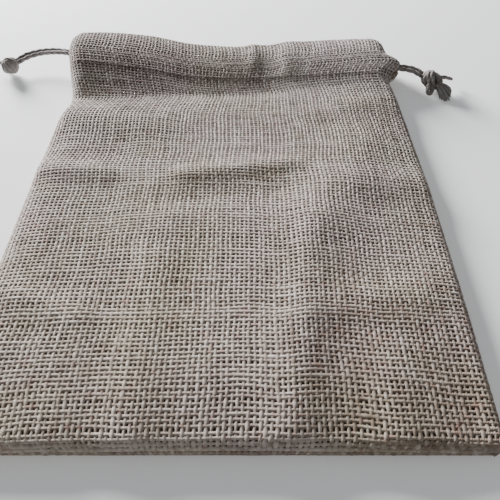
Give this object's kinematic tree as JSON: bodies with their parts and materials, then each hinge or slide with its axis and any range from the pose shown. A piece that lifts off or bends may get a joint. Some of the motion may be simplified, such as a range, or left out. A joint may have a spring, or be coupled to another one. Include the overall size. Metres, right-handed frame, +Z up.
{
  "type": "jute drawstring pouch",
  "caption": "Small flat pouch of jute hessian, sewn from two panels, with a casing at the mouth and two drawcords knotted at the sides.",
  "frame": {"origin": "on the surface that the bag lies on, halfway between the bottom seam and the mouth and about halfway across", "axes": "+X across the bag, +Y from the bottom seam to the mouth, +Z up, away from the surface it lies on"},
  "size_m": [0.29, 0.2652, 0.0213],
  "materials": {
    "hessian": "open plain weave, matt",
    "twine": "two-ply laid twine, matt"
  },
  "bodies": {
    "root": {"front_panel": "hessian", "back_panel": "hessian", "drawcord_left": "twine", "drawcord_right": "twine", "knot_left": "twine", "knot_right": "twine"}
  },
  "joints": []
}
